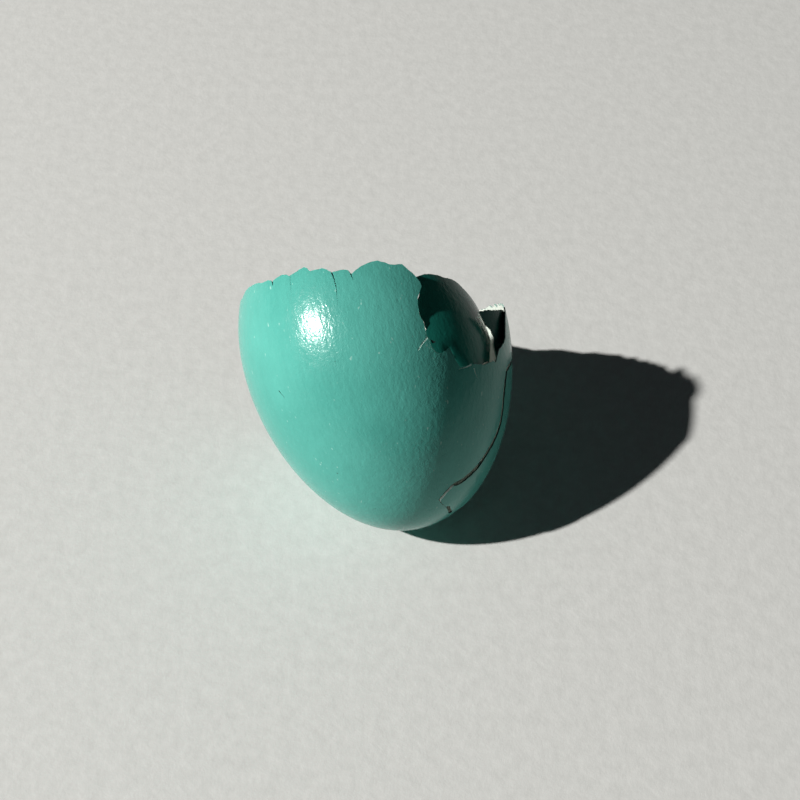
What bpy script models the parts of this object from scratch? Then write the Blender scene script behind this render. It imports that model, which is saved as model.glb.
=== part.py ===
# Robin's eggshell, the lower half of a hatched or broken egg. Units are metres, +Z is up, and the origin
# is the centre of the small flat that the shell rests on.
import math

import bmesh
import bpy
from mathutils import Matrix, Vector

MM = 0.001

# The whole egg: its radius halfway along, half its length, and two terms that make one end blunter
EGG_RADIUS = 10.23 * MM
HALF_LENGTH = 13.16 * MM
BLUNT_TERM = 0.117
ROUND_TERM = 0.023

WALL = 0.3 * MM
GAP = 0.3 * MM
FLAT_DEPTH = 0.2 * MM
STEPS = 56
ROWS = 24
WALL_TOP = 9.8 * MM

# How the egg lies: where its middle is, how far its axis leans, and how it is turned about that axis
EGG_CENTRE = Vector((-0.97, 3.05, 10.91)) * MM - Vector((0, 0, FLAT_DEPTH))
LEAN = math.radians(53.94)
HEADING = math.radians(17.67)
ROLL = math.radians(100.8)

# A piece of broken shell is cut along a ragged outline, given as the angle about the egg's axis in degrees,
# and the height along that axis in millimetres. Angle 0 faces the front, and 90 the right. The cutters
# reach this many times as far from the egg's middle as its face does.
CUT_REACH = 2.4
CROWN_REACH = 3.6
GROUND_SIZE = 8 * MM
SHARPEST_CORNER = 1.5

FRONT_RIM = [
    (-77, 7.0), (-73, 7.06), (-69, 7.4), (-62, 7.6), (-55, 7.6), (-49, 7.45), (-45, 7.5), (-42, 7.3),
    (-35, 7.5), (-31.5, 7.25), (-28.5, 7.35), (-23.5, 7.55), (-20.5, 7.15), (-14.5, 7.1), (-11, 6.67),
    (-5, 6.55), (-2, 6.13), (0, 6.35), (5, 6.62), (10, 6.63), (14.5, 6.15), (19.5, 6.0), (21, 5.7),
    (23.3, 5.03),
]
OPENING_RIM = [(26, 4.8), (45, 3.8), (65, 2.8), (80, 1.9), (84, 1.65), (88, 1.6)]
BACK_RIM = [
    (93, 1.75), (97, 1.95), (103, 1.9), (110, 2.1), (118, 2.3), (125, 2.0), (133, 2.35), (141, 2.2),
    (149, 2.7), (154, 3.7), (158, 4.9), (163, 5.5), (170, 5.8), (178, 5.6), (186, 5.7), (194, 5.3),
    (202, 4.6), (211, 3.1), (219, 0.9), (228, -1.0), (237, -1.9), (246, -1.6), (254, 0.2),
    (261, 2.8), (267, 5.4), (273, 6.9),
]

# The edge that the folded flap broke away from, from the foot of the notch to the foot of the tab
FLAP_FOOT = [
    (21.2, 0.7), (22.1, 0.2), (23, -0.48), (26.5, -0.58), (29.6, -0.43), (31.5, -1.25), (34.2, -2.12),
    (39.8, -2.02), (44, -2.22), (50, -2.3), (56.9, -2.37),
]
NOTCH_EDGE = [
    (23.4, 5.0), (24.8, 4.1), (21.3, 3.25), (20.3, 2.11), (21.2, 1.3),
]
TAB_EDGE = [
    (58.4, -1.9), (61, -1.5), (66.9, -1.1), (69.8, -0.73), (71.6, -0.1), (74.1, 0.46), (81, 1.3), (85, 1.9),
]
ABOVE_OPENING = [(88, 3.2), (88, 6.5), (56, 9), (23.1, 8.5)]

FLAP_TOP = [
    (58.5, -2.1), (61.5, -0.9), (68, -0.5), (78, 0), (84, 0.6), (87.5, 1.5), (84, 2.3), (79, 2.75),
    (74.7, 3), (68.5, 3.95), (64, 4.65), (61.7, 5.05), (56.6, 5.42), (49.6, 5.55), (45.2, 5.76),
    (40.2, 5.92), (32, 5.85), (27.1, 5.66), (25.7, 4.9), (26.2, 4.2), (22.7, 3.35), (21.4, 2.15),
    (22, 1.4),
]
# The flap has turned in about the foot of the notch
FLAP_HINGE = (21.2, 0.7)
FLAP_TURN = Vector((0.022, -0.273, 0.198))
FLAP_SHIFT = Vector((-0.01, 0.07, 0.1)) * MM

PLATE_EDGE = [
    (82, -2.4), (73.6, -2.74), (68.4, -3.07), (66, -4), (65.7, -5.5), (66.3, -6.74), (63.3, -7.67),
    (57.3, -8.6), (51, -9.4), (44, -9.87), (37.3, -10.17), (26, -10.7), (21.5, -11.15), (34, -11.85),
    (50, -12.3), (75, -12.1), (100, -11.2), (118, -9.8), (129, -8), (132, -6), (126, -4.2), (112, -3.1),
    (97, -2.6),
]
PLATE_HINGE = (100, -5)
PLATE_TURN = Vector((0.0097, 0.0032, 0.0073))

FRAGMENT_EDGE = [
    (57.7, 1.7), (59.5, 0.5), (63.2, -0.25), (64.7, -0.55), (64.5, -1.05), (66.4, -2), (70, -2.3),
    (80, -1.9), (87, -1), (88, 0.5), (84, 1.6), (75, 1.6), (67.4, 1.75),
]
FRAGMENT_SHIFT = Vector((-0.45, -0.52, 0)) * MM


def radius_at(height):
    """Radius of the egg at this height along its axis."""
    t = height / HALF_LENGTH
    return EGG_RADIUS * math.sqrt(max(1 - t * t, 0)) * (1 + BLUNT_TERM * t + ROUND_TERM * t * t)


def on_egg(angle, height):
    """Point on the egg's outer face, from degrees about the axis and millimetres along it."""
    z = height * MM
    turn = math.radians(angle)
    return Vector((radius_at(z) * math.cos(turn), radius_at(z) * math.sin(turn), z))


def moved_outline(outline, distance):
    """The closed outline's points on the egg, each moved outward in the face by this distance."""
    points = [on_egg(*place) for place in outline]
    middle = sum(points, Vector()) / len(points)
    turning = sum(
        (points[i - 1] - middle).cross(point - middle).dot(middle) for i, point in enumerate(points)
    )
    side = math.copysign(1, turning) * distance
    moved = []
    for i, point in enumerate(points):
        before, after = points[i - 1], points[(i + 1) % len(points)]
        along = (point - before).normalized() + (after - point).normalized()
        corner = min(2 / along.length, SHARPEST_CORNER)
        moved.append(point + along.cross(point).normalized() * side * corner)
    return moved


def collection(name, hidden=False):
    made = bpy.data.collections.new(name)
    made.hide_render = hidden
    bpy.context.scene.collection.children.link(made)
    return made


def add_object(name, mesh, home, parent=None):
    made = bpy.data.objects.new(name, mesh)
    home.objects.link(made)
    made.parent = parent
    return made


def add_cutter(name, points, centre):
    """Solid that spreads from the egg's middle through a closed ring of points, and is capped at centre."""
    bm = bmesh.new()
    bmesh.ops.create_circle(bm, cap_ends=True, cap_tris=True, segments=len(points), radius=1)
    hub = max(bm.verts, key=lambda vert: len(vert.link_edges))
    ring = [vert for vert in bm.verts if vert is not hub]
    ring.sort(key=lambda vert: math.atan2(vert.co.y, vert.co.x))
    for vert, point in zip(ring, points):
        vert.co = point * CUT_REACH
    hub.co = centre
    rim = [edge for edge in bm.edges if edge.is_boundary]
    sides = bmesh.ops.extrude_edge_only(bm, edges=rim)["geom"]
    tip = [item for item in sides if isinstance(item, bmesh.types.BMVert)]
    bmesh.ops.pointmerge(bm, verts=tip, merge_co=(0, 0, 0))
    bmesh.ops.recalc_face_normals(bm, faces=bm.faces)
    mesh = bpy.data.meshes.new(name)
    bm.to_mesh(mesh)
    bm.free()
    made = add_object(name, mesh, guides, pose)
    made.display_type = "WIRE"
    return made


def add_patch_cutter(name, outline, distance):
    points = moved_outline(outline, distance)
    middle = sum(points, Vector()) / len(points)
    return add_cutter(name, points, middle.normalized() * EGG_RADIUS * CUT_REACH)


def cut(target, cutter, operation="DIFFERENCE"):
    boolean = target.modifiers.new(f"{operation.title()} {cutter.name}", "BOOLEAN")
    boolean.operation = operation
    boolean.solver = "EXACT"
    boolean.object = cutter


def add_wall(name, colour):
    """The egg's curved wall up to WALL_TOP, turned about the axis and thickened inward."""
    made = add_object(name, bpy.data.meshes.new(name), shell, pose)
    lowest = -math.pi / 2
    highest = math.asin(WALL_TOP / HALF_LENGTH)
    bm = bmesh.new()
    profile = []
    for row in range(ROWS + 1):
        height = HALF_LENGTH * math.sin(highest + (lowest - highest) * row / ROWS)
        profile.append(bm.verts.new((radius_at(height) if row < ROWS else 0, 0, height)))
    for upper, lower in zip(profile, profile[1:]):
        bm.edges.new((upper, lower))
    bm.to_mesh(made.data)
    bm.free()
    screw = made.modifiers.new("Turn", "SCREW")
    screw.steps = STEPS
    screw.render_steps = STEPS
    screw.use_merge_vertices = True
    screw.merge_threshold = 1e-6
    solidify = made.modifiers.new("Wall", "SOLIDIFY")
    solidify.thickness = WALL
    solidify.offset = -1
    material = bpy.data.materials.new(name)
    material.use_nodes = True
    principled = material.node_tree.nodes["Principled BSDF"]
    principled.inputs["Base Color"].default_value = (*colour, 1)
    principled.inputs["Roughness"].default_value = 0.4
    made.data.materials.append(material)
    return made


def turned(hinge, turn):
    """Movement that turns a piece about a point of the egg's face."""
    place = on_egg(*hinge)
    return Matrix.Translation(place) @ Matrix.Rotation(turn.length, 4, turn) @ Matrix.Translation(-place)


for old in list(bpy.data.objects):
    bpy.data.objects.remove(old)
shell = collection("robin_egg")
guides = collection("guides", hidden=True)

# The egg is modelled upright about its middle, under an empty that lays it down as it rests
pose = add_object("pose", None, guides)
pose.matrix_world = (
    Matrix.Translation(EGG_CENTRE)
    @ Matrix.Rotation(HEADING, 4, "Z")
    @ Matrix.Rotation(-LEAN, 4, "X")
    @ Matrix.Rotation(-ROLL, 4, "Z")
)

# Body of the shell
cup = add_wall("shell_cup", (0.09, 0.42, 0.36))
rim = [on_egg(*place) for place in FRONT_RIM + OPENING_RIM + BACK_RIM]
cut(cup, add_cutter("crown", rim, Vector((0, 0, EGG_RADIUS * CROWN_REACH))))
cut(cup, add_patch_cutter("opening", FLAP_FOOT + TAB_EDGE + ABOVE_OPENING + NOTCH_EDGE, GAP / 2))
cut(cup, add_patch_cutter("plate_hole", PLATE_EDGE, GAP / 2))

# Small flat that it rests on
ground_mesh = bpy.data.meshes.new("ground")
ground_bm = bmesh.new()
bmesh.ops.create_cube(ground_bm, size=GROUND_SIZE)
ground_bm.to_mesh(ground_mesh)
ground_bm.free()
ground = add_object("ground", ground_mesh, guides)
ground.location.z = -GROUND_SIZE / 2
ground.display_type = "WIRE"
cut(cup, ground)

# Large piece that has folded in
flap = add_wall("folded_flap", (0.07, 0.34, 0.3))
flap.matrix_local = Matrix.Translation(FLAP_SHIFT) @ turned(FLAP_HINGE, FLAP_TURN)
cut(flap, add_patch_cutter("flap_outline", FLAP_FOOT + FLAP_TOP, -GAP / 2), "INTERSECT")

# Plate low on the right side
plate = add_wall("side_plate", (0.08, 0.38, 0.33))
plate.matrix_local = turned(PLATE_HINGE, PLATE_TURN)
cut(plate, add_patch_cutter("plate_outline", PLATE_EDGE, -GAP / 2), "INTERSECT")

# Small piece just inside the opening
fragment = add_wall("inner_fragment", (0.05, 0.24, 0.21))
fragment.matrix_local = Matrix.Translation(FRAGMENT_SHIFT)
cut(fragment, add_patch_cutter("fragment_outline", FRAGMENT_EDGE, 0), "INTERSECT")
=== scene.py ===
import math
import random

import bmesh
import bpy
from mathutils import Matrix, Vector


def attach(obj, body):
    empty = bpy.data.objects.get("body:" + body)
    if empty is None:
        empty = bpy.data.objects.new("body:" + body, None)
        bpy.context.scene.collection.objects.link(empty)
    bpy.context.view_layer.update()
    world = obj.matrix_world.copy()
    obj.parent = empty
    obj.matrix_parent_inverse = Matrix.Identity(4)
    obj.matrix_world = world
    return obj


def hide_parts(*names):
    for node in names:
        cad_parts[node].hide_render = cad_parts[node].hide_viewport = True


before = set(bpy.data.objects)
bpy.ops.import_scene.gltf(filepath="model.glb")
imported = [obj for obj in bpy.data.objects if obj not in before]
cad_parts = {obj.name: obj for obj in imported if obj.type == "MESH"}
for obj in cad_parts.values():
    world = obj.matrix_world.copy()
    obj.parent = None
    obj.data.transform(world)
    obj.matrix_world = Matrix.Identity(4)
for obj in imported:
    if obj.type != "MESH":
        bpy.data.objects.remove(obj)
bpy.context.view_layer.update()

# Cup
# The lower half of a robin's eggshell: calcite a fraction of a millimetre thick, teal and finely pored
# outside, pale inside, grown in one piece and broken off in a ragged line round its open end.
MM = 0.001
EGG_RADIUS = 10.228 * MM
HALF_LENGTH = 13.159 * MM
BLUNT_TERM = 0.1167
ROUND_TERM = 0.0234
SHELL_THICKNESS = 0.1 * MM
REST_DEPTH = 0.2 * MM
WALL_TOP = 8.8 * MM
CUTTER_REACH = 2.4
CROWN_REACH = 3.6
MERGE_DISTANCE = 1e-7
SHARP_ANGLE = math.radians(35)
# The finishes, in the order of the materials on every piece. The dark one is painted shade for cracks and
# shaded edges, and the palest one is pale calcite painted paler where edges catch the light.
OUTSIDE, LINING, BROKEN, DARK, PALE_LIT = range(5)

# The egg stands upright about its middle while it is shaped, and this lays it down as it rests
laid_down = (
    Matrix.Translation(Vector((-0.973, 3.055, 10.914)) * MM - Vector((0, 0, REST_DEPTH)))
    @ Matrix.Rotation(math.radians(17.67), 4, "Z")
    @ Matrix.Rotation(math.radians(-53.94), 4, "X")
    @ Matrix.Rotation(math.radians(-100.8), 4, "Z")
)


def shell_radius(height):
    t = max(-1, min(1, height / HALF_LENGTH))
    return EGG_RADIUS * math.sqrt(1 - t * t) * (1 + BLUNT_TERM * t + ROUND_TERM * t * t)


def on_shell(angle, height):
    """A point of the shell's outer face, from degrees about the egg and millimetres along it."""
    z = height * MM
    turn = math.radians(angle)
    return Vector((shell_radius(z) * math.cos(turn), shell_radius(z) * math.sin(turn), z))


def traced(places):
    return [on_shell(*place) for place in places]


def crumbled(points, seed, roughness=0.035 * MM, step=0.2 * MM, closed=False):
    """The line with short steps in it, each a little off to one side, as shell breaks."""
    chance = random.Random(seed)
    line = []
    pairs = list(zip(points, points[1:])) + ([(points[-1], points[0])] if closed else [])
    for start, end in pairs:
        across = (end - start).cross(start).normalized()
        count = max(1, round((end - start).length / step))
        for i in range(count):
            point = start.lerp(end, i / count)
            line.append(point + across * (chance.uniform(-1, 1) * roughness if i else 0))
    return line if closed else line + [points[-1]]


def offset_loop(points, distance):
    """The closed loop moved outward along the face by this distance."""
    middle = sum(points, Vector()) / len(points)
    turning = sum((points[i - 1] - middle).cross(p - middle).dot(middle) for i, p in enumerate(points))
    side = math.copysign(distance, turning * distance)
    moved = []
    for i, point in enumerate(points):
        following = points[(i + 1) % len(points)]
        along = (point - points[i - 1]).normalized() + (following - point).normalized()
        moved.append(point + along.cross(point).normalized() * side)
    return moved


def placed(name, data):
    """A new object with this data, in the scene."""
    thing = bpy.data.objects.new(name, data)
    bpy.context.scene.collection.objects.link(thing)
    return thing


def add_finishes(mesh, face):
    """The materials in the order of OUTSIDE, LINING, BROKEN, DARK and PALE_LIT."""
    for material in (face, pale_lining, broken_edge, crack_shade_paint, pale_and_lit_break):
        mesh.materials.append(material)


def lining_vertices(mesh):
    return {i for face in mesh.polygons if face.material_index == LINING for i in face.vertices}


def ragged_cutter(name, points, cap, finish=BROKEN, depth=None):
    """A solid that spreads out through the loop of points, from the egg's middle or from this depth."""
    bm = bmesh.new()
    bmesh.ops.create_circle(bm, cap_ends=True, cap_tris=True, segments=len(points), radius=1)
    hub = max(bm.verts, key=lambda vert: len(vert.link_edges))
    ring = sorted((v for v in bm.verts if v is not hub), key=lambda v: math.atan2(v.co.y, v.co.x))
    for vert, point in zip(ring, points):
        vert.co = point * CUTTER_REACH
    hub.co = cap
    border = [edge for edge in bm.edges if edge.is_boundary]
    sides = bmesh.ops.extrude_edge_only(bm, edges=border)["geom"]
    tip = [item for item in sides if isinstance(item, bmesh.types.BMVert)]
    if depth:
        for vert in tip:
            vert.co *= (1 - depth / EGG_RADIUS) / CUTTER_REACH
        bmesh.ops.edgeloop_fill(bm, edges=[edge for edge in bm.edges if edge.is_boundary])
    else:
        bmesh.ops.pointmerge(bm, verts=tip, merge_co=(0, 0, 0))
    bmesh.ops.recalc_face_normals(bm, faces=bm.faces)
    for face in bm.faces:
        face.material_index = finish
    mesh = bpy.data.meshes.new(name)
    bm.to_mesh(mesh)
    bm.free()
    add_finishes(mesh, teal_face)
    cutter = placed(name, mesh)
    cutter.matrix_world = laid_down
    return cutter


def patch_cutter(name, points, finish=BROKEN, depth=None):
    middle = sum(points, Vector()) / len(points)
    return ragged_cutter(name, points, middle.normalized() * EGG_RADIUS * CUTTER_REACH, finish, depth)


def edge_finished(cutter, stretches):
    """Other finishes on the cut edge, from these degrees to those about the egg and below this height."""
    for face in cutter.data.polygons:
        angle = math.degrees(math.atan2(face.center.y, face.center.x))
        for start, end, top, finish in stretches:
            if start < angle < end and face.center.z < top * MM:
                face.material_index = finish
    return cutter


def crack_cutter(name, places, width, seed, finish=DARK, depth=0.07 * MM, narrowing=0.9):
    """A cutter for a crack of this width in millimetres, that narrows toward its last place."""
    line = crumbled(traced(places), seed, roughness=0.02 * MM, step=0.25 * MM)
    left, right = [], []
    for i, point in enumerate(line):
        ahead = line[min(i + 1, len(line) - 1)] - line[max(i - 1, 0)]
        across = ahead.cross(point).normalized() * width * MM / 2 * (1 - narrowing * i / (len(line) - 1))
        left.append(point + across)
        right.append(point - across)
    return patch_cutter(name, left + right[::-1], finish, depth)


def piece_of_shell(name, face, cuts, keep=None, movement=Matrix()):
    """A piece of the egg's wall, moved as it has slipped, cut to its outline and laid down."""
    steps, rows = 220, 100
    highest = math.asin(WALL_TOP / HALF_LENGTH)
    bm = bmesh.new()
    profile = []
    for row in range(rows + 1):
        height = HALF_LENGTH * math.sin(highest - (highest + math.pi / 2) * row / rows)
        profile.append(bm.verts.new((shell_radius(height) if row < rows else 0, 0, height)))
    lines = [bm.edges.new(pair) for pair in zip(profile, profile[1:])]
    bmesh.ops.spin(
        bm, geom=profile + lines, cent=(0, 0, 0), axis=(0, 0, 1), angle=2 * math.pi, steps=steps,
        use_merge=True,
    )
    bmesh.ops.remove_doubles(bm, verts=bm.verts, dist=MERGE_DISTANCE)
    bmesh.ops.recalc_face_normals(bm, faces=bm.faces)
    if max(bm.faces, key=lambda f: f.calc_center_median().x).normal.x < 0:
        bmesh.ops.reverse_faces(bm, faces=bm.faces)
    mesh = bpy.data.meshes.new(name)
    bm.to_mesh(mesh)
    bm.free()
    add_finishes(mesh, face)
    rough = placed(name + "_rough", mesh)
    rough.matrix_world = laid_down @ movement
    wall = rough.modifiers.new("wall", "SOLIDIFY")
    wall.thickness = SHELL_THICKNESS
    wall.offset = -1
    wall.material_offset = LINING
    wall.material_offset_rim = BROKEN
    for cutter in ([keep] if keep else []) + cuts:
        boolean = rough.modifiers.new(cutter.name, "BOOLEAN")
        boolean.operation = "INTERSECT" if cutter is keep else "DIFFERENCE"
        boolean.solver = "EXACT"
        boolean.object = cutter
    shaped = rough.evaluated_get(bpy.context.evaluated_depsgraph_get())
    finished = bpy.data.meshes.new_from_object(shaped)
    finished.transform(rough.matrix_world)
    inner = lining_vertices(finished)
    for vert in finished.vertices:
        vert.co.z = max(vert.co.z, SHELL_THICKNESS if vert.index in inner else 0)
    finished.shade_smooth()
    finished.set_sharp_from_angle(angle=SHARP_ANGLE)
    for helper in [rough] + cuts + ([keep] if keep else []):
        bpy.data.objects.remove(helper)
    return placed(name, finished)


def new_material(name):
    material = bpy.data.materials.new(name)
    material.use_nodes = True
    return material, material.node_tree.nodes, material.node_tree.links


def egg_coordinates(nodes, links, stretch=(1, 1, 1)):
    """Object coordinates turned to follow the egg's own axis."""
    place = nodes.new("ShaderNodeTexCoord")
    turn = nodes.new("ShaderNodeMapping")
    upright = laid_down.inverted()
    turn.inputs["Location"].default_value = upright.translation
    turn.inputs["Rotation"].default_value = upright.to_euler()
    links.new(place.outputs["Object"], turn.inputs["Vector"])
    if stretch == (1, 1, 1):
        return turn.outputs["Vector"]
    pull = nodes.new("ShaderNodeMapping")
    pull.inputs["Scale"].default_value = stretch
    links.new(turn.outputs["Vector"], pull.inputs["Vector"])
    return pull.outputs["Vector"]


def noise(nodes, links, vector, scale, detail=3, roughness=0.5):
    texture = nodes.new("ShaderNodeTexNoise")
    texture.inputs["Scale"].default_value = scale
    texture.inputs["Detail"].default_value = detail
    texture.inputs["Roughness"].default_value = roughness
    links.new(vector, texture.inputs["Vector"])
    return texture.outputs["Fac"]


def between(nodes, links, value, low, high, to_low=0, to_high=1):
    span = nodes.new("ShaderNodeMapRange")
    for socket, number in zip(("From Min", "From Max", "To Min", "To Max"), (low, high, to_low, to_high)):
        span.inputs[socket].default_value = number
    links.new(value, span.inputs["Value"])
    return span.outputs["Result"]


def blended(nodes, links, amount, first, second):
    mix = nodes.new("ShaderNodeMix")
    mix.data_type = "RGBA"
    links.new(amount, mix.inputs["Factor"])
    for socket, colour in ((mix.inputs[6], first), (mix.inputs[7], second)):
        if isinstance(colour, tuple):
            socket.default_value = (*colour, 1)
        else:
            links.new(colour, socket)
    return mix.outputs[2]


def tinted(colour, shares):
    return tuple(part * share for part, share in zip(colour, shares))


def bump(nodes, links, height, strength, distance):
    relief = nodes.new("ShaderNodeBump")
    relief.inputs["Strength"].default_value = strength
    relief.inputs["Distance"].default_value = distance
    links.new(height, relief.inputs["Height"])
    return relief


# The teal of the cup and plate is darker than real shell, and their lamp makes up for it. The dark teal
# over most of the folded piece, the darker band near its foot, and the inner piece's very dark teal are
# painted shade.
FLECK = (0.32, 0.56, 0.5)
SPECK = (0.03, 0.09, 0.075)
PAINTED_SHADE = (0.014, 0.185, 0.143)
PAINTED_CREASE_SHADE = (0.004, 0.045, 0.036)


def teal_shell(name, deep, light, gloss, rough, relief):
    """Teal shell with cloudy pigment, faint streaks along the egg and pores, and painted shade read from
    an attribute: dark teal as it rises to one, darker still above one.
    """
    material, nodes, links = new_material(name)
    surface = nodes["Principled BSDF"]
    on_egg = egg_coordinates(nodes, links)
    along_egg = egg_coordinates(nodes, links, (1, 1, 0.55))
    clouds = between(nodes, links, noise(nodes, links, on_egg, 170, 4, 0.55), 0.32, 0.68)
    colour = blended(nodes, links, clouds, deep, light)
    streaks = noise(nodes, links, egg_coordinates(nodes, links, (1, 1, 0.16)), 1500, 3, 0.5)
    streak_amount = between(nodes, links, streaks, 0.45, 0.75, 0, 0.16)
    colour = blended(nodes, links, streak_amount, colour, tuple(c * 0.75 for c in deep))
    grain = between(nodes, links, noise(nodes, links, on_egg, 4200, 4, 0.6), 0.5, 0.75, 0, 0.16)
    colour = blended(nodes, links, grain, colour, tuple(min(1, c * 1.2 + 0.02) for c in light))
    fleck = between(nodes, links, noise(nodes, links, along_egg, 3600, 1, 0.4), 0.74, 0.8, 0, 0.6)
    colour = blended(nodes, links, fleck, colour, FLECK)
    speck = between(nodes, links, noise(nodes, links, on_egg, 2900, 2, 0.5), 0.76, 0.8, 0, 0.85)
    colour = blended(nodes, links, speck, colour, SPECK)
    # Painted shade: the attribute blends the teal to a dark teal, and above one to a darker teal still.
    darkening = nodes.new("ShaderNodeAttribute")
    darkening.attribute_name = "painted_shade_amount"
    painted_shade_amount = between(nodes, links, darkening.outputs["Fac"], 0, 1)
    colour = blended(nodes, links, painted_shade_amount, colour, PAINTED_SHADE)
    crease_shade = between(nodes, links, darkening.outputs["Fac"], 1, 2, 0, 0.8)
    colour = blended(nodes, links, crease_shade, colour, PAINTED_CREASE_SHADE)
    links.new(colour, surface.inputs["Base Color"])
    surface.inputs["Specular IOR Level"].default_value = gloss
    wear = noise(nodes, links, on_egg, 2600, 4, 0.6)
    roughness = between(nodes, links, wear, 0.3, 0.7, rough, rough * 1.7)
    links.new(roughness, surface.inputs["Roughness"])
    pits = noise(nodes, links, along_egg, 2900, 2, 0.5)
    coarse = bump(nodes, links, pits, 0.8, 0.036 * MM * relief)
    pores = noise(nodes, links, on_egg, 7500, 2, 0.5)
    fine = bump(nodes, links, pores, 0.8, 0.017 * MM * relief)
    links.new(coarse.outputs["Normal"], fine.inputs["Normal"])
    links.new(fine.outputs["Normal"], surface.inputs["Normal"])
    return material


PATCH_SHARES = (0.62, 0.86, 0.84)
STAIN_SHARES = (0.85, 0.72, 0.55)


def chalky(name, first, second, roughness):
    """The mottled calcite of a broken edge or the dry lining inside, or a dark painted shade for cracks.
    """
    material, nodes, links = new_material(name)
    surface = nodes["Principled BSDF"]
    place = egg_coordinates(nodes, links)
    mottle = between(nodes, links, noise(nodes, links, place, 1100, 5, 0.6), 0.35, 0.65)
    colour = blended(nodes, links, mottle, first, second)
    patches = between(nodes, links, noise(nodes, links, place, 230, 4, 0.6), 0.45, 0.7, 0, 0.4)
    colour = blended(nodes, links, patches, colour, tinted(first, PATCH_SHARES))
    stains = between(nodes, links, noise(nodes, links, place, 520, 5, 0.65), 0.62, 0.78, 0, 0.35)
    colour = blended(nodes, links, stains, colour, tinted(first, STAIN_SHARES))
    links.new(colour, surface.inputs["Base Color"])
    surface.inputs["Roughness"].default_value = roughness
    grain = bump(nodes, links, noise(nodes, links, place, 5000, 4, 0.6), 0.5, 0.03 * MM)
    links.new(grain.outputs["Normal"], surface.inputs["Normal"])
    return material


teal_face = teal_shell(
    "teal_face", (0.062, 0.3, 0.253), (0.08, 0.35, 0.297), gloss=0.22, rough=0.16, relief=1
)
pale_lining = chalky("pale_lining", (0.46, 0.5, 0.45), (0.56, 0.59, 0.54), roughness=0.7)
# Painted shade for crack walls, the floors of dark cracks and shaded edges: a very dark teal.
crack_shade_paint = chalky("crack_shade_paint", (0.012, 0.05, 0.042), (0.03, 0.09, 0.075), roughness=0.9)
# Pale calcite of a broken edge, painted paler still where edges catch the light: partly painted light.
pale_and_lit_break = chalky("pale_and_lit_break", (0.62, 0.82, 0.76), (0.74, 0.92, 0.86), roughness=0.8)
broken_edge = chalky("broken_edge", (0.16, 0.32, 0.28), (0.36, 0.48, 0.43), roughness=0.8)

front_rim = [
    (-77.4, 7.01), (-72.9, 7.06), (-69.3, 7.4), (-62.4, 7.6), (-55.5, 7.61), (-49, 7.46), (-45.1, 7.5),
    (-42.1, 7.31), (-38.8, 7.44), (-35.1, 7.5), (-33.2, 7.44), (-31.5, 7.26), (-28.7, 7.35),
    (-25.9, 7.49), (-23.3, 7.56), (-21.7, 7.42), (-20.3, 7.13), (-17.4, 7.12), (-14.5, 7.1),
    (-12.3, 6.89), (-10.7, 6.67), (-8, 6.6), (-4.9, 6.56), (-2.9, 6.4), (-2, 6.13), (0.1, 6.34),
    (3, 6.52), (6.7, 6.63), (9.9, 6.63), (12.6, 6.4), (15.1, 6.12), (18.1, 6.03), (19.8, 5.97),
    (20.7, 5.74), (22.1, 5.34), (23.2, 5.05),
]
over_opening = [(26, 4.9), (45, 3.8), (65, 2.8), (80, 1.9), (84, 1.65), (88, 1.6)]
back_rim = [
    (91, 1.75), (93, 2.05), (95, 1.9), (97, 2.15), (99, 1.98), (101, 2.2), (103.5, 2), (106, 2.3),
    (109, 2.1), (112, 2.35), (116, 2.2), (120, 2.3), (125, 2.1), (133, 2.35), (141, 2.2),
    (149, 2.7), (154, 3.7), (158, 4.9), (163, 5.5), (170, 5.8), (178, 5.6), (186, 5.7), (194, 5.3),
    (202, 4.6), (211, 3.1), (219, 0.9), (228, -1), (237, -1.9), (246, -1.6), (254, 0.2), (261, 2.8),
    (267, 5.4), (273, 6.9),
]
flap_foot = [
    (21.2, 0.7), (22.2, 0.26), (22, -0.16), (23, -0.48), (24.3, -0.64), (26.5, -0.58), (29.6, -0.43),
    (30.5, -0.79), (31.5, -1.25), (32.5, -1.71), (34.2, -2.12), (37.5, -2.1), (39.8, -2.02),
    (43.8, -2.22), (48.4, -2.33), (51.9, -2.26), (54.7, -2.21), (56.9, -2.37),
]
tab_edge = [
    (58.1, -2.06), (60.5, -1.52), (63.7, -1.3), (66.9, -1.08), (69.8, -0.73), (71.6, -0.14),
    (74.1, 0.46), (77.5, 0.99), (81, 1.3), (85, 1.9), (88, 3.2),
]
notch_edge = [
    (23.4, 4.99), (24.3, 4.57), (24.8, 4.1), (23.1, 3.71), (21.3, 3.25), (20.7, 2.69), (20.3, 2.11),
    (21.1, 1.65), (21.2, 1.13),
]
plate_edge = [
    (81.9, -2.4), (73.6, -2.74), (68.4, -3.07), (66.7, -3.77), (65.6, -4.46), (65.7, -5.52),
    (66.3, -6.74), (63.3, -7.67), (57.3, -8.61), (51.1, -9.39), (43.9, -9.87), (37.3, -10.17),
    (31.2, -10.3), (26, -10.68), (21.5, -11.13), (34, -11.85), (50, -12.4), (75, -12.1), (100, -11.2),
    (118, -9.8), (129, -8), (132, -6), (126, -4.2), (112, -3.1), (97, -2.6),
]

CRACK_GAP = 0.26 * MM
rim_line = crumbled(traced(front_rim + over_opening + back_rim), 3, closed=True)
foot_line = crumbled(traced(flap_foot), 5)
opening_line = foot_line[:-1] + crumbled(traced(flap_foot[-1:] + tab_edge), 7)
opening_line += traced([(88, 6.5), (56, 9), (23, 8.5)])
opening_line += crumbled(traced([(23.1, 5.8)] + notch_edge), 6)
plate_line = crumbled(traced(plate_edge), 8, closed=True)
hole_line = offset_loop(plate_line, CRACK_GAP / 2)

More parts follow.
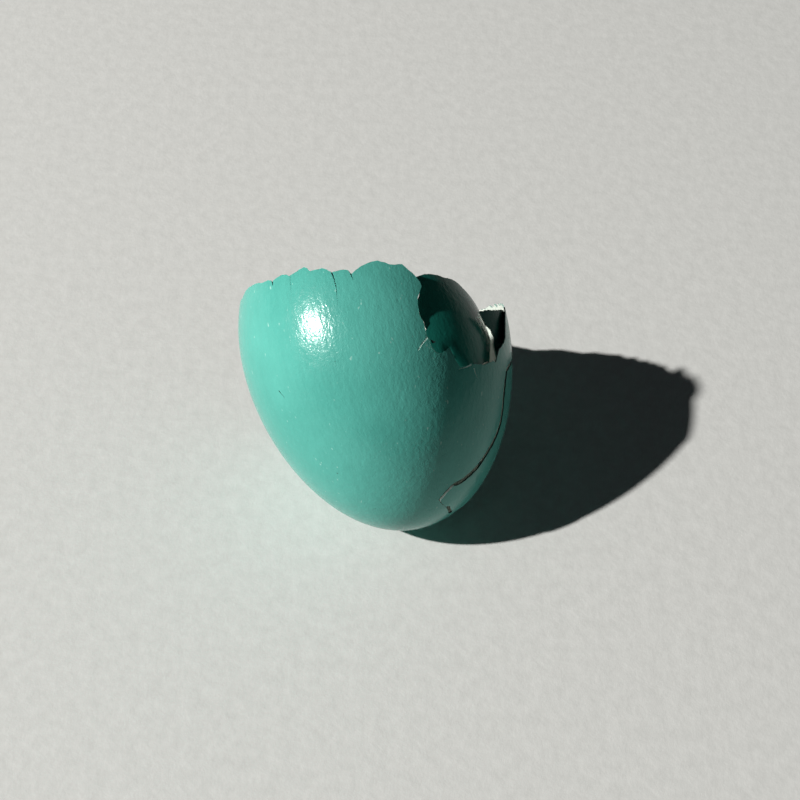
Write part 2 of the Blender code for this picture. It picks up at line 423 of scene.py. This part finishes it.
# Stretches of the broken edge with other finishes, in degrees about the egg and millimetres along it:
# painted shade along the foot, a pale edge painted as lit at the scallop, and the outer teal where the
# piece is eased flush
FOOT_START, EASED_START, EASED_END, FOOT_TOP = 19, 30.2, 36, 1.3
SCALLOP_START, SCALLOP_END, SCALLOP_TOP = 21, 24.5, -0.16
opening = edge_finished(
    patch_cutter("opening", opening_line),
    [
        (FOOT_START, EASED_START, FOOT_TOP, DARK),
        (SCALLOP_START, SCALLOP_END, SCALLOP_TOP, PALE_LIT),
        (EASED_START, EASED_END, FOOT_TOP, OUTSIDE),
    ],
)

# For each crack its name, its places from end to end, its width in millimetres and its line's seed
# Their walls and floors are painted dark, as shade.
dark_cracks = [
    ("rim_crack", [(-10.7, 7), (-10.3, 6.5), (-9.9, 6.1), (-9.8, 5.5)], 0.12, 11),
    ("rim_hairline", [(-9.8, 5.8), (-9.7, 5.3), (-10.2, 4.7), (-10.6, 4.2)], 0.045, 14),
    ("small_notch", [(-3.0, 6.6), (-2.4, 6.05), (-2.1, 5.65)], 0.12, 12),
    ("left_hairline", [(-31.4, 7.6), (-30.6, 6.7), (-30.5, 6)], 0.035, 15),
    ("chip", [(-42.2, 7.5), (-41.7, 7.2), (-41.3, 6.95)], 0.2, 16),
    ("scratch", [(-48.1, -0.5), (-47.3, -0.74), (-46.4, -0.98), (-46.2, -1.3)], 0.07, 17),
]
# The pale ones are shallow, and have a depth and a narrowing too. Their floors are pale calcite painted
# paler, as edges that catch the light.
pale_cracks = [
    (
        "foot_crack", [(21.7, 0.75), (21.4, 0.5), (19.5, 0.24), (17.6, -0.06), (16.4, -0.28)],
        0.17, 13, PALE_LIT, 0.025 * MM, 0.6,
    ),
    (
        "foot_streak", [(40, -2.13), (38.4, -2.18), (35.6, -2.23), (32.8, -2.25)],
        0.12, 18, PALE_LIT, 0.025 * MM, 0.9,
    ),
    ("side_scratch", [(41.2, -2.4), (42.1, -2.93), (43.2, -3.24)], 0.07, 19, PALE_LIT, 0.02 * MM, 0.9),
]
cup = piece_of_shell(
    "eggshell_cup",
    teal_face,
    [
        ragged_cutter("crown", rim_line, Vector((0, 0, EGG_RADIUS * CROWN_REACH))),
        opening,
        # The hole's walls are painted dark, as shade in the crack.
        patch_cutter("plate_hole", hole_line, DARK),
    ] + [crack_cutter(*crack) for crack in dark_cracks + pale_cracks],
)
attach(cup, "root")
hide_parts("shell_cup")

# Folded piece
# A large piece of the same wall that has broken loose along its foot and swung in like a door. It
# still hangs on the cup at the foot of the notch.
flap_top = [
    (61, -1.7), (66, -1.2), (71, -0.8), (78, -0.2), (84, 0.5), (87.5, 1.5), (84, 2.3), (79, 2.75),
    (74.7, 2.99), (68.5, 3.94), (64.1, 4.61), (61.7, 5.04), (56.6, 5.42), (49.6, 5.54), (45.2, 5.76),
    (40.2, 5.92), (35.2, 5.95), (32, 5.83), (29.8, 5.74), (27.1, 5.66), (25.7, 5.1), (26, 4.2),
    (24, 3.7), (22.4, 3.3), (21.6, 2.6), (21.2, 2.1), (21.9, 1.6), (21.9, 1.1),
]
JOINED_START, JOINED_END = 30, 35
FLAP_EDGE_END = 60
FLAP_INSET = 0.006 * MM
CHIP_DEPTH = 0.05 * MM
FOOT_EASE = 0.8 * MM
# Painted shade on the folded piece: its ramp from the joined foot, and the middle and width of a darker
# band along the crease.
SHADE_PAINT_RAMP = 0.08 * MM
CREASE_SHADE_MIDDLE = 0.35 * MM
CREASE_SHADE_WIDTH = 0.65 * MM
hinge = on_shell(21.2, 0.7)
swing = Vector((0.022, -0.273, 0.198))
swung_in = (
    Matrix.Translation(Vector((-0.011, 0.071, 0.098)) * MM)
    @ Matrix.Translation(hinge)
    @ Matrix.Rotation(swing.length, 4, swing)
    @ Matrix.Translation(-hinge)
)
under_notch = [
    (20.9, 0.75), (21.7, 0.2), (21.5, -0.3), (22.6, -0.66), (24.2, -0.82), (26.5, -0.78), (29.4, -0.62),
]
shared_foot = [
    point for point in foot_line if math.atan2(point.y, point.x) > math.radians(JOINED_START)
]
flap_line = crumbled(traced(under_notch), 20) + shared_foot[:-1]
flap_line += crumbled(traced(flap_foot[-1:] + flap_top + under_notch[:1]), 21)[:-1]
flap_line = offset_loop(flap_line, -FLAP_INSET)
# The folded piece's own teal, painted over with shade by the attribute set below.
shade_painted_face = teal_shell(
    "shade_painted_face", (0.075, 0.42, 0.35), (0.1, 0.49, 0.41), gloss=0.07, rough=0.15, relief=0.9
)
# The chip's walls and floor are painted dark, as shade.
foot_chip = []
for place in ((21.8, 0.24), (24.1, 0), (23, -0.1), (21.9, -0.07)):
    before = swung_in.inverted() @ on_shell(*place)
    foot_chip.append(on_shell(math.degrees(math.atan2(before.y, before.x)), before.z / MM))
chip_cutter = patch_cutter("foot_chip", foot_chip, DARK, CHIP_DEPTH)
chip_cutter.matrix_world = laid_down @ swung_in
# Along its foot the cut edge is painted dark, as shade, and past the eased part it takes the outer teal.
flap = piece_of_shell(
    "folded_in_piece",
    shade_painted_face,
    [chip_cutter],
    edge_finished(
        patch_cutter("flap_outline", flap_line),
        [
            (FOOT_START, EASED_START, FOOT_TOP, DARK),
            (EASED_START, FLAP_EDGE_END, FOOT_TOP, OUTSIDE),
        ],
    ),
    swung_in,
)

# Near the corner of its foot the piece still hangs on the cup, and there it is eased back flush with it
joined = [
    point for point in foot_line
    if JOINED_START < math.degrees(math.atan2(point.y, point.x)) < JOINED_END
]
inner = lining_vertices(flap.data)
painted_shade_amount = flap.data.attributes.new("painted_shade_amount", "FLOAT", "POINT")
for vert in flap.data.vertices:
    place = laid_down.inverted() @ vert.co
    flush = 1
    for _ in range(4):
        flush = shell_radius(place.z * flush) / math.hypot(place.x, place.y)
    gap = min((place * flush - point).length for point in joined)
    if vert.index in inner:
        flush *= 1 - SHELL_THICKNESS / place.length
    free = min(1, gap / FOOT_EASE)
    free *= free * (3 - 2 * free)
    vert.co = laid_down @ (place * (flush + (1 - flush) * free))
    # Painted shade: the attribute rises from the joined foot to one, and a darker band along the crease is
    # added to it.
    crease_shade_amount = max(0, 1 - abs(gap - CREASE_SHADE_MIDDLE) / CREASE_SHADE_WIDTH)
    painted_shade_amount.data[vert.index].value = min(1, gap / SHADE_PAINT_RAMP) + crease_shade_amount
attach(flap, "root")
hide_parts("folded_flap")

# Side plate
# A plate of shell low on the side, cracked free all round. Its lower left corner has lifted by about a
# tenth of a millimetre.
NARROW_SIDE, NARROWING = 0.65, 0.7
# Where the plate's crack edge is painted pale, as lit, instead of dark, as shade: on this side and above
# this height.
PALE_LIT_SIDE, PALE_LIT_BOTTOM = 0.62, -11.3 * MM
lifted_line = [
    far.lerp(near, NARROWING if far.y < NARROW_SIDE * far.x else 0)
    for far, near in zip(offset_loop(plate_line, -CRACK_GAP / 2), hole_line)
]
plate_hinge = on_shell(100, -5)
plate_turn = Vector((0.0097, 0.0032, 0.0073))
lifted = (
    Matrix.Translation(plate_hinge)
    @ Matrix.Rotation(plate_turn.length, 4, plate_turn)
    @ Matrix.Translation(-plate_hinge)
)
plate = piece_of_shell(
    "cracked_side_plate",
    teal_face,
    [],
    patch_cutter("plate_outline", lifted_line, DARK),
    lifted,
)
# The plate's crack edges are painted dark, as shade, except along the lower left, where they are painted
# pale, as lit.
for face in plate.data.polygons:
    place = laid_down.inverted() @ face.center
    on_pale_lit_side = place.z > PALE_LIT_BOTTOM and place.y < PALE_LIT_SIDE * place.x
    if face.material_index == DARK and on_pale_lit_side:
        face.material_index = PALE_LIT
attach(plate, "root")
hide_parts("side_plate")

# Small inner piece
# A fragment of shell that has dropped just inside the opening, and stands in the shade between the
# folded piece and the tab of the rim.
fragment_edge = [
    (57, 1.7), (60, 0.52), (63.6, 0.12), (64.1, -0.19), (65.7, -0.51), (64.4, -0.99), (64.4, -1.28),
    (64.9, -1.68), (66, -2.27), (68, -2.5), (78, -2.1), (87, -1.2), (90, 0), (89, 1.4), (84.4, 1.5),
    (78.1, 1.52), (71.3, 1.58), (66.2, 1.65), (62.6, 1.7),
]
fragment_hinge = on_shell(86, 0)
dropped = (
    Matrix.Translation(Vector((-0.01, -0.16, 0)) * MM)
    @ Matrix.Translation(fragment_hinge)
    @ Matrix.Rotation(-0.128, 4, "Z")
    @ Matrix.Translation(-fragment_hinge)
)
# The inner piece's colour is painted shade: a very dark teal.
shade_painted_dark_face = teal_shell(
    "shade_painted_dark_face", (0.012, 0.085, 0.07), (0.018, 0.11, 0.09), gloss=0.03, rough=0.2, relief=0.6
)
fragment = piece_of_shell(
    "small_inner_piece",
    shade_painted_dark_face,
    [],
    patch_cutter("fragment_outline", crumbled(traced(fragment_edge), 31, closed=True)),
    dropped,
)
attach(fragment, "root")
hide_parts("inner_fragment")

# Floor, light and camera
# A sheet of pale paper and a weak fill. Three lamps at the left stand for the low sun in the photo: one
# shades the cup and plate, one gives only their highlight, and one lights the paper and the inner pieces.
FLOOR_HALF = 0.6
LAMP_DISTANCE = 1.2
LAMP_WIDTH = 0.034
LAMP_AIM = Vector((0, 3, 11)) * MM
bm = bmesh.new()
bmesh.ops.create_grid(bm, x_segments=2, y_segments=2, size=FLOOR_HALF)
floor_mesh = bpy.data.meshes.new("paper_floor")
bm.to_mesh(floor_mesh)
bm.free()
floor = placed("paper_floor", floor_mesh)
paper, nodes, links = new_material("pale_paper")
place = nodes.new("ShaderNodeTexCoord").outputs["Object"]
fibres = noise(nodes, links, place, 900, 6, 0.65)
lightness = between(nodes, links, fibres, 0.3, 0.7)
paper_colour = blended(nodes, links, lightness, (0.7, 0.71, 0.69), (0.78, 0.79, 0.77))
links.new(paper_colour, nodes["Principled BSDF"].inputs["Base Color"])
nodes["Principled BSDF"].inputs["Roughness"].default_value = 0.85
tooth = bump(nodes, links, fibres, 0.5, 0.1 * MM)
links.new(tooth.outputs["Normal"], nodes["Principled BSDF"].inputs["Normal"])
floor_mesh.materials.append(paper)


def key_light(name, azimuth, elevation, watts, lit, shade=True, shine=True):
    """A far lamp for these objects only, in degrees to the right of the front and above the floor."""
    flat = math.cos(math.radians(elevation))
    toward = Vector((math.sin(math.radians(azimuth)) * flat, -math.cos(math.radians(azimuth)) * flat, 0))
    toward.z = math.sin(math.radians(elevation))
    lamp = bpy.data.lights.new(name, "AREA")
    lamp.shape = "DISK"
    lamp.size = LAMP_WIDTH
    lamp.energy = watts
    lamp.color = (1, 0.98, 0.95)
    light = placed(name, lamp)
    light.location = LAMP_AIM + toward * LAMP_DISTANCE
    light.rotation_euler = toward.to_track_quat("Z", "Y").to_euler()
    light.visible_diffuse = shade
    light.visible_glossy = shine
    reached = bpy.data.collections.new(name)
    for thing in lit:
        reached.objects.link(thing)
    light.light_linking.receiver_collection = reached


key_light(
    "key_on_shell", azimuth=-78.5, elevation=30.5, watts=27.5, lit=[cup, plate], shine=False
)
key_light(
    "glint_on_shell", azimuth=-67.2, elevation=34.3, watts=35, lit=[cup, plate], shade=False
)
key_light("key_on_paper", azimuth=-73, elevation=40.5, watts=17.5, lit=[floor, flap, fragment])

world = bpy.data.worlds.new("soft_fill")
world.use_nodes = True
world.node_tree.nodes["Background"].inputs["Color"].default_value = (0.85, 0.93, 1, 1)
world.node_tree.nodes["Background"].inputs["Strength"].default_value = 0.02
bpy.context.scene.world = world

CAMERA_DIP = 51.89
camera = bpy.data.cameras.new("camera")
camera.lens = 68.4
camera.sensor_width = 36
camera.clip_start = 0.01
view = placed("camera", camera)
view.location = Vector((0.564, -71.342, 100.789)) * MM
view.rotation_euler = (math.radians(90 - CAMERA_DIP), 0, 0)
bpy.context.scene.camera = view
bpy.context.scene.view_settings.view_transform = "Standard"
